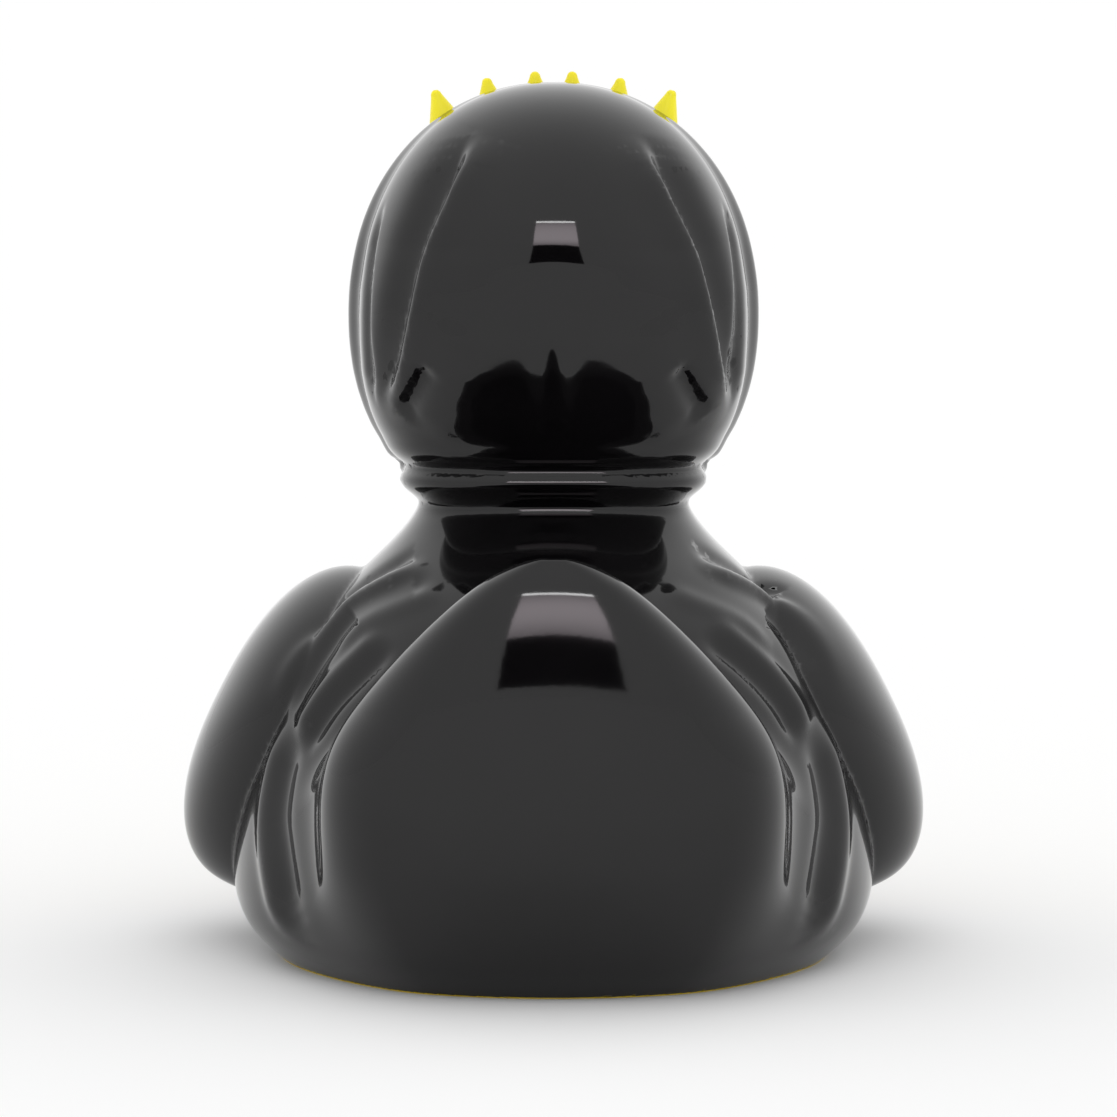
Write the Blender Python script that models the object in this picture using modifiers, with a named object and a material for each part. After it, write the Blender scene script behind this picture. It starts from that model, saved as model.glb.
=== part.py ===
"""A rubber duck in a draped hood and robe, moulded hollow in one piece from soft vinyl.

The duck stands on its flat foot at z = 0, with the bill towards -Y, the tail towards +Y and the
origin at the middle of the foot. Lengths below are in millimetres and become metres in the mesh.

The outer skin is built the way a pattern maker would block it out: simple forms for the head, the
neck, the robe and the tail are joined, their joins are rounded, and then the crisp features
(wings, neck roll, hem, bill and crown) are added. The hollow is the same set of forms, smaller by
the wall.
"""

from math import cos, pi, radians, sin, sqrt

import bmesh
import bpy
from mathutils import Matrix, Vector

MM = 0.001
MERGE_DISTANCE = 0.00001  # metres

# The moulding
WALL = 2.2  # thickness of the vinyl
VENT_DIAMETER = 3.0  # air hole through the foot
VENT_FROM_CENTRE = 9.0  # behind the middle of the foot

# Robe, a bell from the foot up to the neck
ROBE_HEIGHT = 43.8
ROBE_HALF_WIDTH = 31.8
ROBE_REAR = 36.0  # from the origin back to its fullest place
ROBE_FRONT = 35.6
ROBE_SQUARENESS = 2.1  # exponent of the plan outline at the foot: 2 is an ellipse
ROBE_FULLNESS = (  # share of the height, then how full it is there at the sides, rear and front
    (0.0, 0.68, 0.73, 0.52),
    (0.023, 0.79, 0.80, 0.63),
    (0.07, 0.91, 0.90, 0.79),
    (0.15, 1.0, 0.98, 0.92),
    (0.24, 0.97, 0.99, 0.98),
    (0.365, 0.93, 0.95, 0.99),
    (0.50, 0.84, 0.82, 0.92),
    (0.615, 0.73, 0.69, 0.82),
    (0.71, 0.61, 0.55, 0.68),
    (0.80, 0.45, 0.40, 0.49),
    (0.88, 0.27, 0.22, 0.32),
    (0.936, 0.12, 0.10, 0.14),
    (1.0, 0.0, 0.0, 0.0),
)

# Neck, with one roll of cloth between the hood and the robe
NECK_RADIUS = 13.4
NECK_LAP = 5.0  # how far the neck runs into the robe, and into the head
SHOULDER_SINK = 0.2  # how far inside the neck the robe's top ends
ROLL_RADIUS = 15.5
ROLL_TUBE = 1.5  # radius of the roll's own section
ROLL_RISE = 3.3  # from the robe's top to the roll's middle

# Head under the hood
HEAD_Y = -5.0
HEAD_RISE = 19.2  # from the robe's top to the head's middle
HEAD_HALF_WIDTH = 19.5
HEAD_HALF_DEPTH = 20.0
HEAD_UP = 23.7  # from the head's middle to the top of the hood
HEAD_DOWN = 23.8  # to where its lower end would close, inside the neck
HEAD_BOTTOM = 14.4  # to the hood's lower edge, where the head is cut off flat
HEAD_SQUARENESS = 2.16  # exponent of the outline: 2 is an ellipse
HEAD_Z = ROBE_HEIGHT + HEAD_RISE

# Rolled hem round the face
HEM_FORWARD = 8.0  # from the head's middle to the plane of the hem
HEM_TUBE = 2.0  # radius of the roll
HEM_PROUD = 0.8  # of the roll's middle line beyond the head, at the sides
HEM_SINK = 0.6  # of the same line into the head, at the top
HEM_LOW = 0.86  # share of the head's lower half that the hem goes round

# Tail, a broad upturned tongue that carries the back of the robe
TAIL_TOP_Z = 42.8
TAIL_FOOT_Z = 6.8  # where its form ends, inside the robe
TAIL_BEHIND_ROBE = 4.0
TAIL_HALF_WIDTH = 25.8
TAIL_TIP_RADIUS = 10.6  # of the rounded tip, seen from behind
TAIL_FULLEST = 0.52  # share of its height where it reaches furthest back
TAIL_TOP_LEAN = 3.6  # how far ahead of its fullest place the rear face lies at the tip
TAIL_FOOT_LEAN = 11.5  # and at the floor
TAIL_EDGE_RADIUS = 2.3  # of the rounded edge at the tip
TAIL_THICKENING = 0.62  # thickness gained for each millimetre further down
TAIL_BEND = 34.0  # radius of the rear face at the tip, seen from above
TAIL_BEND_GROWTH = 1.4  # of that radius for each millimetre further down
TAIL_BEND_DEPTH = 18.0  # below the tip, where the bend stops growing
TAIL_RINGS = 12

# Wings
WING_PROUD = 5.7  # beyond the robe's fullest half width
WING_MIDDLE_Y = -3.0
WING_MIDDLE_Z = 21.3
WING_SQUARENESS = 2.35
WING_HALF_LENGTH = 21.0  # along the body
WING_HALF_HEIGHT = 17.5
WING_HALF_THICKNESS = 9.5
WING_LEAN = 26.9  # degrees that the wing's long side leans in at the top
WING_TAPER = 0.42  # share of its height that the wing loses towards its rear tip
WING_TIP_RISE = 5.0  # of the rear tip
WING_TAPER_EASE = 1.6  # exponent: the taper sets in slowly

# Folds of the cloth, each a soft ridge on one side and its mirror image on the other
HOOD_FOLDS = (  # degrees round from straight behind, height above the head's middle
    ((32, 17.0), (37, 12.0), (41, 7.0), (46, 1.5), (52, -4.0), (62, -8.5)),
    ((60, 13.0), (66, 8.0), (70, 2.5), (74, -3.0)),
)
ROBE_FOLDS = (  # degrees round from straight behind, share of the robe's height
    ((39, 0.90), (52, 0.845), (59, 0.78), (62, 0.70), (64, 0.60)),
    ((48, 0.58), (53, 0.47), (56, 0.34), (59, 0.20)),
)
FOLD_RADIUS = 1.8  # of the ridge's round back
FOLD_HEIGHT = 1.0  # of the ridge above the cloth

# Bill
BILL_DROP = 5.5  # below the head's middle
BILL_REACH = 10.5  # ahead of the face
BILL_HALF_LENGTH = 14.0  # most of it lies in the head
BILL_HALF_WIDTH = 8.4
BILL_THICKNESS = 6.4  # of the upper half
BILL_LOWER_SHARE = 0.8  # size of the lower half beside the upper one
BILL_LOWER_DROP = 2.6  # from the middle of the upper half to that of the lower
BILL_LOWER_BACK = 1.6  # how far the lower half's tip stays behind the upper one's

# Crown
CROWN_POINTS = 6
CROWN_RISE = 1.1  # of the middle tips above the hood's top
CROWN_FALL = 1.4  # of the outermost points below that
CROWN_SPACING = 15.0  # degrees round the head from one point to the next
CROWN_LEAN = 3.6  # degrees that each point leans out more than the one before it
CROWN_STAND_OFF = 0.4  # of the points' middles beyond the head
CROWN_POINT_HEIGHT = 7.0
CROWN_POINT_RADIUS = 2.8
CROWN_TIP_RADIUS = 0.5
CROWN_POINT_SINK = 1.4  # how deep a point's foot lies in the band
CROWN_BAND_HEIGHT = 3.2
CROWN_BAND_THICKNESS = 1.5  # beyond the head
CROWN_BAND_SINK = 1.0  # into the head
CROWN_BAND_OVERHANG = 9.5  # degrees that the band runs on past the outermost points
CROWN_TOP_Z = HEAD_Z + HEAD_UP + CROWN_RISE

VINYL_BLACK = (0.012, 0.012, 0.013, 1.0)
VINYL_ROUGHNESS = 0.12

# Fineness of the mesh
SKIN_CELL = 0.8  # of the mesh that rounds the joins
HOLLOW_CELL = 1.5
SKIN_ROUNDING = 4  # passes of smoothing over the joins
HOLLOW_ROUNDING = 6
SKIN_KEPT = 0.06  # share of the fine triangles that the finished skin keeps
HOLLOW_KEPT = 0.1
RING_POINTS = 64


def clear_scene():
    for obj in list(bpy.data.objects):
        bpy.data.objects.remove(obj)


def new_collection(name):
    made = bpy.data.collections.new(name)
    bpy.context.scene.collection.children.link(made)
    return made


def object_from(name, shape, collection, guide=True):
    """A mesh object from a bmesh in millimetres, as a hidden guide or as a part."""
    bmesh.ops.scale(shape, vec=(MM, MM, MM), verts=shape.verts)
    bmesh.ops.recalc_face_normals(shape, faces=shape.faces)
    mesh = bpy.data.meshes.new(name)
    shape.to_mesh(mesh)
    shape.free()
    mesh.shade_smooth()
    made = bpy.data.objects.new(name, mesh)
    collection.objects.link(made)
    if guide:
        made.hide_render = True
        made.display_type = "WIRE"
    return made


def mesh_from_curve(name, curve, collection):
    """A curve made a closed mesh, so that a Boolean can use it."""
    drawn = bpy.data.objects.new(name + "_curve", curve)
    collection.objects.link(drawn)
    graph = bpy.context.evaluated_depsgraph_get()
    mesh = bpy.data.meshes.new_from_object(drawn.evaluated_get(graph))
    shape = bmesh.new()
    shape.from_mesh(mesh)
    bmesh.ops.remove_doubles(shape, verts=shape.verts, dist=MERGE_DISTANCE)
    bmesh.ops.recalc_face_normals(shape, faces=shape.faces)
    shape.to_mesh(mesh)
    shape.free()
    made = bpy.data.objects.new(name, mesh)
    made.matrix_world = drawn.matrix_world
    made.hide_render = True
    made.display_type = "WIRE"
    collection.objects.link(made)
    bpy.data.objects.remove(drawn)
    return made


def round_bar(name, points, radius, closed, collection):
    """A round bar along points in millimetres."""
    curve = bpy.data.curves.new(name, "CURVE")
    curve.dimensions = "3D"
    curve.bevel_depth = radius * MM
    curve.bevel_resolution = 2
    curve.use_fill_caps = not closed
    spline = curve.splines.new("POLY")
    spline.points.add(len(points) - 1)
    for place, point in zip(spline.points, points):
        place.co = (*(point * MM), 1)
    spline.use_cyclic_u = closed
    return mesh_from_curve(name, curve, collection)


def superellipse(turn, half_width, rear, front, squareness):
    """A point of a plan outline, with its own reach to the rear and to the front."""
    c, s = cos(turn), sin(turn)
    x = half_width * abs(c) ** (2 / squareness) * (1 if c > 0 else -1)
    reach = rear if s > 0 else front
    y = reach * abs(s) ** (2 / squareness) * (1 if s > 0 else -1)
    return x, y


def squared_out(direction, squareness):
    """How far a unit ball reaches in a direction once its outlines are squared by an exponent."""
    return sum(abs(value) ** squareness for value in direction) ** (-1 / squareness)


def smooth_between(levels, steps):
    """The rows of levels with a smooth curve through them, in steps steps between each two."""
    rows = []
    for i in range(len(levels) - 1):
        before = levels[max(i - 1, 0)]
        start, end = levels[i], levels[i + 1]
        after = levels[min(i + 2, len(levels) - 1)]
        for step in range(steps):
            t = step / steps
            row = []
            for a, b, c, d in zip(before, start, end, after):
                curved = (2 * a - 5 * b + 4 * c - d) * t**2 + (3 * b - a - 3 * c + d) * t**3
                row.append(0.5 * (2 * b + (c - a) * t + curved))
            rows.append(tuple(row))
    rows.append(levels[-1])
    return rows


def loft(rings):
    """A closed solid through rings of as many points each, capped at both ends."""
    shape = bmesh.new()
    rows = [[shape.verts.new(point) for point in ring] for ring in rings]
    count = len(rows[0])
    for low, high in zip(rows, rows[1:]):
        for i in range(count):
            shape.faces.new((low[i], low[(i + 1) % count], high[(i + 1) % count], high[i]))
    shape.faces.new(rows[0][::-1])
    shape.faces.new(rows[-1])
    return shape


def head_form(inset):
    """The head: a slightly square egg with its lower end cut off flat."""
    shape = bmesh.new()
    bmesh.ops.create_uvsphere(shape, u_segments=48, v_segments=32, radius=1.0)
    for vert in shape.verts:
        up = (HEAD_UP if vert.co.z > 0 else HEAD_DOWN) - inset
        across, back, high = vert.co * squared_out(vert.co, HEAD_SQUARENESS)
        vert.co = Vector(
            (
                across * (HEAD_HALF_WIDTH - inset),
                back * (HEAD_HALF_DEPTH - inset) + HEAD_Y,
                max(high * up, inset - HEAD_BOTTOM) + HEAD_Z,
            )
        )
    return shape


def head_share_at(z):
    """How much of its full width and depth the head has left at a height."""
    up = HEAD_UP if z > HEAD_Z else HEAD_DOWN
    left_over = 1 - (abs(z - HEAD_Z) / up) ** HEAD_SQUARENESS
    return max(left_over, 0.0) ** (1 / HEAD_SQUARENESS)


def on_head(turn, rise):
    """The point of the hood's surface some degrees round from straight behind."""
    z = HEAD_Z + rise
    share = head_share_at(z)
    x, y = superellipse(
        radians(90 - turn),
        HEAD_HALF_WIDTH * share,
        HEAD_HALF_DEPTH * share,
        HEAD_HALF_DEPTH * share,
        HEAD_SQUARENESS,
    )
    return Vector((x, HEAD_Y + y, z))


def neck_form(name, inset, collection):
    """The neck, from inside the robe to inside the head."""
    top = HEAD_Z - HEAD_BOTTOM + NECK_LAP
    low = ROBE_HEIGHT - NECK_LAP
    shape = bmesh.new()
    bmesh.ops.create_cone(
        shape,
        cap_ends=True,
        segments=RING_POINTS,
        radius1=NECK_RADIUS - inset,
        radius2=NECK_RADIUS - inset,
        depth=top - low,
    )
    bmesh.ops.translate(shape, vec=(0, HEAD_Y, 0.5 * (top + low)), verts=shape.verts)
    return object_from(name, shape, collection)


def roll_form(collection):
    """The roll of cloth round the neck."""
    radius = ROLL_RADIUS - ROLL_TUBE
    points = []
    for i in range(RING_POINTS // 2):
        turn = 4 * pi * i / RING_POINTS
        points.append(
            Vector((radius * cos(turn), HEAD_Y + radius * sin(turn), ROBE_HEIGHT + ROLL_RISE))
        )
    return round_bar("neck_roll", points, ROLL_TUBE, True, collection)


def robe_rows():
    """(z, half width, reach to the rear, reach to the front), from the foot up to the neck."""
    top = NECK_RADIUS - SHOULDER_SINK
    reaches = (
        (top, ROBE_HALF_WIDTH),
        (HEAD_Y + top, ROBE_REAR),
        (top - HEAD_Y, ROBE_FRONT),
    )
    rows = []
    for share, *fullness in ROBE_FULLNESS:
        row = [share * ROBE_HEIGHT]
        for full, (at_neck, at_fullest) in zip(fullness, reaches):
            row.append(at_neck + full * (at_fullest - at_neck))
        rows.append(tuple(row))
    return rows


def robe_plan(z):
    """(squareness, middle) of the plan outline at a height: round and further forward at the neck."""
    rise = min(z / ROBE_HEIGHT, 1.0) ** 2
    return ROBE_SQUARENESS + (2.0 - ROBE_SQUARENESS) * rise, HEAD_Y * rise


def robe_form(inset):
    """The bell of the robe. A bell with an inset keeps as far from the floor."""
    rings = []
    for z, half_width, rear, front in smooth_between(robe_rows(), 3):
        squareness, middle = robe_plan(z)
        ring = []
        for i in range(RING_POINTS):
            x, y = superellipse(
                2 * pi * i / RING_POINTS,
                half_width - inset,
                rear - middle - inset,
                front + middle - inset,
                squareness,
            )
            ring.append((x, y + middle, max(z, inset)))
        rings.append(ring)
    if inset == 0:
        below_floor = [(x, y, -1.0) for x, y, _ in rings[0]]
        return loft([below_floor] + rings)
    return loft([rings[0]] + [ring for ring in rings if ring[0][2] > inset])


def on_robe(turn, share):
    """The point of the robe's surface some degrees round from straight behind."""
    z = share * ROBE_HEIGHT
    rows = robe_rows()
    above = next(i for i, row in enumerate(rows) if row[0] > z)
    low, high = rows[above - 1], rows[above]
    t = (z - low[0]) / (high[0] - low[0])
    half_width, rear, front = (low[k] + t * (high[k] - low[k]) for k in (1, 2, 3))
    squareness, middle = robe_plan(z)
    x, y = superellipse(radians(90 - turn), half_width, rear - middle, front + middle, squareness)
    return Vector((x, middle + y, z))


def tail_rear_at(z):
    """How far back the tail's rear face reaches at a height."""
    fullest_z = TAIL_FULLEST * TAIL_TOP_Z
    above = max(z - fullest_z, 0.0) / (TAIL_TOP_Z - fullest_z)
    below = max(fullest_z - z, 0.0) / fullest_z
    return ROBE_REAR + TAIL_BEHIND_ROBE - TAIL_TOP_LEAN * above**2 - TAIL_FOOT_LEAN * below**2.6


def tail_thickness_at(drop):
    """From the rear face to the front one, below the tip: a round edge, then ever thicker."""
    edge = min(drop, TAIL_EDGE_RADIUS)
    rounded_edge = 2 * sqrt(2 * TAIL_EDGE_RADIUS * edge - edge**2)
    return rounded_edge + TAIL_THICKENING * max(drop - TAIL_EDGE_RADIUS, 0.0)


def tail_form(inset):
    """The tail's tongue: bent oval sections, rounded to a tip, that widen and thicken downwards.
    The hollow's tongue starts where there is room for it between the walls."""
    span = TAIL_TOP_Z - TAIL_FOOT_Z
    thinnest = HOLLOW_CELL if inset else 0.0
    rings = []
    for step in range(TAIL_RINGS, -1, -1):
        drop = span * max((step / TAIL_RINGS) ** 2, 0.001)
        thickness = tail_thickness_at(drop) - 2 * inset
        if thickness < thinnest:
            break
        z = TAIL_TOP_Z - drop
        half_width = min(sqrt(2 * TAIL_TIP_RADIUS * drop), TAIL_HALF_WIDTH) - inset
        bend = TAIL_BEND + TAIL_BEND_GROWTH * min(drop, TAIL_BEND_DEPTH)
        ring = []
        for i in range(RING_POINTS // 2):
            turn = 4 * pi * i / RING_POINTS
            x = half_width * cos(turn)
            y = tail_rear_at(z) - inset - 0.5 * thickness * (1 - sin(turn)) - x * x / (2 * bend)
            ring.append((x, y, z))
        rings.append(ring)
    return loft(rings)


def wing_form(side, inset):
    """A puffed wing: a slightly square egg that leans in at the top."""
    shape = bmesh.new()
    bmesh.ops.create_uvsphere(shape, u_segments=28, v_segments=16, radius=1.0)
    half = (WING_HALF_THICKNESS - inset, WING_HALF_LENGTH - inset, WING_HALF_HEIGHT - inset)
    for vert in shape.verts:
        size = squared_out(vert.co, WING_SQUARENESS)
        rearward = max(vert.co.y * size, 0.0) ** WING_TAPER_EASE
        vert.co = Vector(value * size * reach for value, reach in zip(vert.co, half))
        vert.co.z = vert.co.z * (1 - WING_TAPER * rearward) + WING_TIP_RISE * rearward
    lean = Matrix.Rotation(radians(-WING_LEAN), 3, "Y")
    bmesh.ops.transform(shape, matrix=lean.to_4x4(), verts=shape.verts)
    outermost = max(vert.co.x for vert in shape.verts)
    shift = ROBE_HALF_WIDTH + WING_PROUD - inset - outermost
    bmesh.ops.translate(shape, vec=(shift, WING_MIDDLE_Y, WING_MIDDLE_Z), verts=shape.verts)
    if side < 0:
        bmesh.ops.scale(shape, vec=(-1, 1, 1), verts=shape.verts)
    return shape


def fold_form(name, places, side, surface, middle, collection):
    """A soft ridge of cloth: a round bar laid along a surface and sunk until its back shows."""
    rows = smooth_between(places, 3)
    points = []
    for i, (turn, height) in enumerate(rows):
        place = surface(side * turn, height)
        fade = sin(pi * i / (len(rows) - 1)) ** 0.5
        outward = (place - middle).normalized()
        points.append(place - outward * (FOLD_RADIUS - FOLD_HEIGHT * fade))
    return round_bar(name, points, FOLD_RADIUS, False, collection)


def fold_forms(collection):
    kinds = (
        ("hood", HOOD_FOLDS, on_head, Vector((0, HEAD_Y, HEAD_Z))),
        ("robe", ROBE_FOLDS, on_robe, Vector((0, HEAD_Y, 0.5 * ROBE_HEIGHT))),
    )
    made = []
    for label, folds, surface, middle in kinds:
        for i, places in enumerate(folds):
            for side, word in ((1, "left"), (-1, "right")):
                name = f"{label}_fold_{i + 1}_{word}"
                made.append(fold_form(name, places, side, surface, middle, collection))
    return made


def hem_form(collection):
    """The rolled hem: a round bar bent round the face."""
    n = HEAD_SQUARENESS
    narrowing = (1 - (HEM_FORWARD / HEAD_HALF_DEPTH) ** n) ** (1 / n)
    across = HEAD_HALF_WIDTH * narrowing + HEM_PROUD
    high = HEAD_UP * narrowing - HEM_SINK
    low = HEM_LOW * HEAD_DOWN * narrowing
    points = []
    for i in range(RING_POINTS // 2):
        x, z = superellipse(4 * pi * i / RING_POINTS, across, high, low, n)
        points.append(Vector((x, HEAD_Y - HEM_FORWARD, HEAD_Z + z)))
    return round_bar("hem", points, HEM_TUBE, True, collection)


def bill_form(upper):
    """Half of the bill: a flat egg, the lower one smaller and set back under the upper."""
    share = 1.0 if upper else BILL_LOWER_SHARE
    back = 0.0 if upper else BILL_LOWER_BACK
    drop = BILL_DROP if upper else BILL_DROP + BILL_LOWER_DROP
    shape = bmesh.new()
    bmesh.ops.create_uvsphere(shape, u_segments=28, v_segments=14, radius=1.0)
    size = (BILL_HALF_WIDTH, BILL_HALF_LENGTH, 0.5 * BILL_THICKNESS)
    bmesh.ops.scale(shape, vec=[share * value for value in size], verts=shape.verts)
    foremost = min(vert.co.y for vert in shape.verts)
    tip = HEAD_Y - HEAD_HALF_DEPTH - BILL_REACH + back
    bmesh.ops.translate(shape, vec=(0, tip - foremost, HEAD_Z - drop), verts=shape.verts)
    return shape


def crown_foot_z(step):
    """Height of the crown's foot, step points away from its middle: it falls to the sides."""
    outermost = 0.5 * (CROWN_POINTS - 1)
    return CROWN_TOP_Z - CROWN_POINT_HEIGHT - CROWN_FALL * (step / outermost) ** 2


def round_brow(turn, stand_off, z):
    """A point round the hood's front, some radians from straight ahead."""
    radius = HEAD_HALF_DEPTH * head_share_at(z) + stand_off
    return Vector((radius * sin(turn), HEAD_Y - radius * cos(turn), z))


def crown_point_form(step):
    """One point: a cone with a rounded tip, its foot sunk in the band."""
    ball_z = CROWN_POINT_HEIGHT - CROWN_TIP_RADIUS
    slope = (CROWN_POINT_RADIUS - CROWN_TIP_RADIUS) / ball_z
    profile = [(CROWN_POINT_RADIUS + slope * CROWN_POINT_SINK, -CROWN_POINT_SINK)]
    for degrees in (10, 35, 60, 82):
        turn = radians(degrees)
        profile.append((CROWN_TIP_RADIUS * cos(turn), ball_z + CROWN_TIP_RADIUS * sin(turn)))
    segments = 12
    turns = [2 * pi * i / segments for i in range(segments)]
    shape = loft([[(radius * cos(t), radius * sin(t), z) for t in turns] for radius, z in profile])
    foot = round_brow(radians(CROWN_SPACING * step), CROWN_STAND_OFF, crown_foot_z(step))
    lean = Matrix.Rotation(radians(2 * CROWN_LEAN * step), 4, "Y")
    bmesh.ops.transform(shape, matrix=Matrix.Translation(foot) @ lean, verts=shape.verts)
    return shape


def crown_band_form():
    """The band across the brow: a strip of even height bent along the head."""
    reach = 0.5 * (CROWN_POINTS - 1) * CROWN_SPACING + CROWN_BAND_OVERHANG
    steps = 20
    rings = []
    for i in range(steps + 1):
        degrees = reach * (2 * i / steps - 1)
        turn = radians(degrees)
        high = crown_foot_z(degrees / CROWN_SPACING)
        low = high - CROWN_BAND_HEIGHT
        rings.append(
            [
                round_brow(turn, -CROWN_BAND_SINK, low),
                round_brow(turn, CROWN_BAND_THICKNESS, low),
                round_brow(turn, CROWN_BAND_THICKNESS, high),
                round_brow(turn, -CROWN_BAND_SINK, high),
            ]
        )
    return loft(rings)


def crown_form(collection):
    """The band with its points joined on. EXACT leaves open edges where the points' feet meet."""
    crown = object_from("crown_band", crown_band_form(), collection)
    for i in range(CROWN_POINTS):
        shape = crown_point_form(i - 0.5 * (CROWN_POINTS - 1))
        point = object_from(f"crown_point_{i + 1}", shape, collection)
        boolean(crown, point, "UNION", solver="MANIFOLD")
    return crown


def boolean(target, other, operation, solver="EXACT"):
    step = target.modifiers.new(f"{operation.title()} {other.name}", "BOOLEAN")
    step.operation = operation
    step.object = other
    step.solver = solver


def rounded(target, cell, passes, kept):
    """Modifiers that weld what came before into one skin, round its joins and thin its mesh."""
    weld = target.modifiers.new("One skin", "REMESH")
    weld.mode = "VOXEL"
    weld.voxel_size = cell * MM
    weld.use_smooth_shade = True
    soften = target.modifiers.new("Rounded joins", "SMOOTH")
    soften.factor = 0.5
    soften.iterations = passes
    thin = target.modifiers.new("Fewer faces", "DECIMATE")
    thin.ratio = kept


def foot_cutter(collection):
    """A block under the floor, which leaves the foot flat."""
    reach = 4 * max(ROBE_REAR, ROBE_HALF_WIDTH)
    depth = 10.0
    shape = bmesh.new()
    bmesh.ops.create_cube(shape, size=1.0)
    bmesh.ops.scale(shape, vec=(reach, reach, depth), verts=shape.verts)
    bmesh.ops.translate(shape, vec=(0, 0, -0.5 * depth), verts=shape.verts)
    return object_from("foot_cutter", shape, collection)


def vent_cutter(collection):
    shape = bmesh.new()
    bmesh.ops.create_cone(
        shape,
        cap_ends=True,
        segments=24,
        radius1=0.5 * VENT_DIAMETER,
        radius2=0.5 * VENT_DIAMETER,
        depth=4 * WALL,
    )
    bmesh.ops.translate(shape, vec=(0, VENT_FROM_CENTRE, 0), verts=shape.verts)
    return object_from("vent_cutter", shape, collection)


def hollow_form(collection):
    """The hollow inside: the same forms as the skin, smaller by the wall."""
    hollow = object_from("hollow_form", robe_form(WALL), collection)
    inner = [
        object_from("hollow_head", head_form(WALL), collection),
        neck_form("hollow_neck", WALL, collection),
        object_from("hollow_tail", tail_form(WALL), collection),
        object_from("hollow_wing_left", wing_form(1, WALL), collection),
        object_from("hollow_wing_right", wing_form(-1, WALL), collection),
    ]
    for form in inner:
        boolean(hollow, form, "UNION")
    rounded(hollow, HOLLOW_CELL, HOLLOW_ROUNDING, HOLLOW_KEPT)
    return hollow


def vinyl():
    made = bpy.data.materials.new("gloss_vinyl_black")
    made.use_nodes = True
    shader = made.node_tree.nodes["Principled BSDF"]
    shader.inputs["Base Color"].default_value = VINYL_BLACK
    shader.inputs["Roughness"].default_value = VINYL_ROUGHNESS
    shader.inputs["Metallic"].default_value = 0.0
    return made


def duck_body(parts, forms):
    """The whole duck, one moulding."""
    duck = object_from("duck_body", robe_form(0), parts, guide=False)
    duck.data.materials.append(vinyl())
    soft = [
        object_from("head_form", head_form(0), forms),
        neck_form("neck_form", 0, forms),
        object_from("tail_form", tail_form(0), forms),
    ]
    for form in soft + fold_forms(forms):
        boolean(duck, form, "UNION")
    rounded(duck, SKIN_CELL, SKIN_ROUNDING, SKIN_KEPT)
    crisp = [
        object_from("wing_left", wing_form(1, 0), forms),
        object_from("wing_right", wing_form(-1, 0), forms),
        roll_form(forms),
        hem_form(forms),
        object_from("bill_upper", bill_form(True), forms),
        object_from("bill_lower", bill_form(False), forms),
        crown_form(forms),
    ]
    for form in crisp:
        boolean(duck, form, "UNION")
    boolean(duck, hollow_form(forms), "DIFFERENCE")
    boolean(duck, foot_cutter(forms), "DIFFERENCE")
    boolean(duck, vent_cutter(forms), "DIFFERENCE")
    return duck


clear_scene()
duck_body(new_collection("rubber_duck"), new_collection("forms_and_cutters"))
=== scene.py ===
from math import cos, pi, radians, sin

import bmesh
import bpy
import numpy as np
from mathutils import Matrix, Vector


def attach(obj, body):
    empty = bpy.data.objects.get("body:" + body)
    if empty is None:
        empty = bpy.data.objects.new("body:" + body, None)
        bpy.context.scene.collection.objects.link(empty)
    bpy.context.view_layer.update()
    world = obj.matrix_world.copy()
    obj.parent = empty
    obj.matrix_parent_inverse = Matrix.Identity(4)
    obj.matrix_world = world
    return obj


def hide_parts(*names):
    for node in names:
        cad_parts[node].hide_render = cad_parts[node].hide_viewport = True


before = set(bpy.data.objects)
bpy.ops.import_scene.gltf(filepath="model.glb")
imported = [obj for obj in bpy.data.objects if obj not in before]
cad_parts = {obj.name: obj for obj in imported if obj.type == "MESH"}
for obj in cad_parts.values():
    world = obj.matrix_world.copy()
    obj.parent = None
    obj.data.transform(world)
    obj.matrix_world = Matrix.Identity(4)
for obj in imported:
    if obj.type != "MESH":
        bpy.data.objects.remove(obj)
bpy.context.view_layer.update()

# The photographer's place
# A long lens looks at the duck's back from a little above. Lengths are in metres here.
AIM = Vector((-0.0005, 0.0, 0.03935))
CAMERA_DISTANCE = 0.600
CAMERA_ELEVATION = radians(5.5)
LENS = 193.4  # millimetres, on a square 36 mm frame

camera_data = bpy.data.cameras.new("camera")
camera_data.lens = LENS
camera_data.sensor_width = 36.0
camera_data.clip_end = 100.0
camera = bpy.data.objects.new("camera", camera_data)
towards_camera = Vector((0.0, cos(CAMERA_ELEVATION), sin(CAMERA_ELEVATION)))
camera.location = AIM + CAMERA_DISTANCE * towards_camera
camera.rotation_euler = towards_camera.to_track_quat("Z", "Y").to_euler()
bpy.context.scene.collection.objects.link(camera)
bpy.context.scene.camera = camera

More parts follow.
